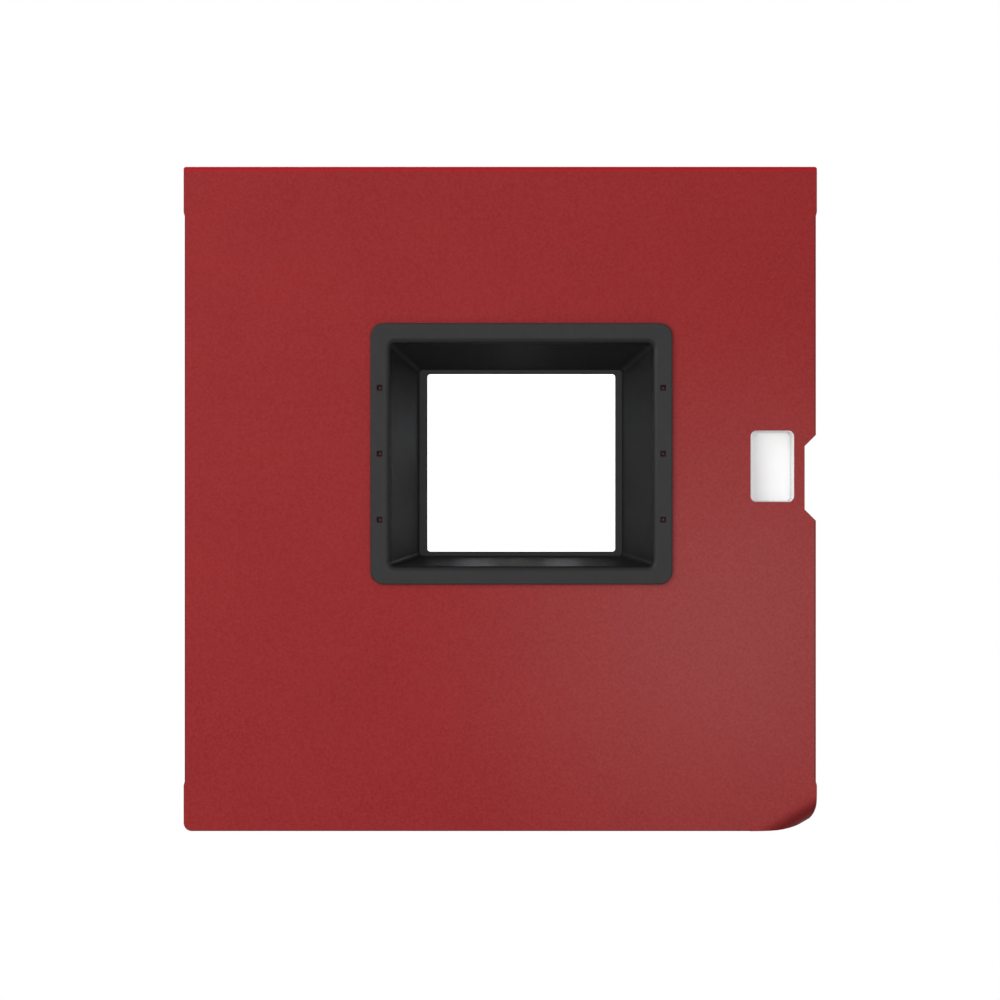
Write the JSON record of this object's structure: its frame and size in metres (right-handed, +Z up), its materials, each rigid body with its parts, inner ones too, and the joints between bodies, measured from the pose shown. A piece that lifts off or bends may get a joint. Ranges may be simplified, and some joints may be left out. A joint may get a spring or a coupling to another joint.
{
  "type": "darkroom safelight",
  "caption": "Wall-hung box safelight: a red grained door with a black tapered hood over an opal window, a finger cup and an edge notch, on a shallow white lamp housing.",
  "frame": {"origin": "centre of the wall screw rectangle, in the wall plane", "axes": "+Z up, +Y into the wall, +X to the right as seen from the front, so the light leaves towards -Y"},
  "size_m": [0.4442, 0.1308, 0.4664],
  "materials": {
    "red_cladding": "semi-matt, fine leather grain",
    "white_liner": "satin",
    "white_cup": "gloss",
    "seal": "matt",
    "black_plastic": "matt, fine spark texture",
    "black_steel": "matt",
    "spring_steel": "bright",
    "hinge_steel": "zinc plated",
    "zinc": "zinc plated",
    "opal": "opal, satin",
    "red_glass": "polished",
    "white_paint": "baked enamel, satin",
    "bright_aluminium": "semi-bright",
    "porcelain": "glazed",
    "brass": "bright",
    "bulb": "frosted",
    "rocker_plastic": "gloss",
    "wire_skin": "satin",
    "earth_skin": "satin",
    "catch_plastic": "satin"
  },
  "bodies": {
    "housing": {"housing_pan": "white_paint", "front_rim": "white_paint", "rim_screws": "zinc", "wall_spacers": "seal", "housing_leaf": "hinge_steel", "housing_leaf_screws": "zinc", "hinge_pin": "spring_steel", "reflector": "bright_aluminium", "reflector_screws": "zinc", "lamp_bracket": "zinc", "bracket_screws": "zinc", "lampholder": "porcelain", "lampholder_screws": "zinc", "bulb_cap": "brass", "bulb_glass": "bulb", "vent_cowl": "white_paint", "cowl_screws": "zinc", "top_baffle": "black_steel", "bottom_baffle": "black_steel", "mains_inlet": "black_plastic", "inlet_pins": "brass", "inlet_screws": "zinc", "switch_body": "black_plastic", "switch_tabs": "brass", "terminal_block": "porcelain", "block_screws": "zinc", "supply_wires": "wire_skin", "earth_wire": "earth_skin", "earth_nut": "brass", "lamp_wires": "wire_skin", "magnet_catch": "catch_plastic"},
    "door": {"door_cladding": "red_cladding", "door_studs": "zinc", "door_liner": "white_liner", "liner_nuts": "zinc", "finger_cup": "white_cup", "door_seal": "seal", "bezel": "black_plastic", "holder_rail_left": "black_steel", "holder_rail_right": "black_steel", "bottom_rail": "black_steel", "rail_screws": "zinc", "door_leaf": "hinge_steel", "door_leaf_screws": "zinc", "strike_plate": "spring_steel"},
    "filter_holder": {"holder_frame": "black_plastic", "opal_diffuser": "opal", "filter_glass": "red_glass", "glass_clips": "spring_steel", "holder_tab": "black_steel"},
    "rocker": {"switch_rocker": "rocker_plastic"}
  },
  "joints": [
    {"name": "door_hinge", "type": "hinge", "parent": "housing", "child": "door", "pos_m": [-0.2065, -0.12, 0], "axis": [0, 0, -1], "range_deg": [0, 100]},
    {"name": "holder_slide", "type": "slide", "parent": "door", "child": "filter_holder", "axis": [0, 0, 1], "range_m": [0, 0.088]},
    {"name": "rocker_tilt", "type": "hinge", "parent": "housing", "child": "rocker", "pos_m": [-0.096, -0.046, -0.21], "axis": [0, -1, 0], "range_deg": [0, 18]}
  ]
}
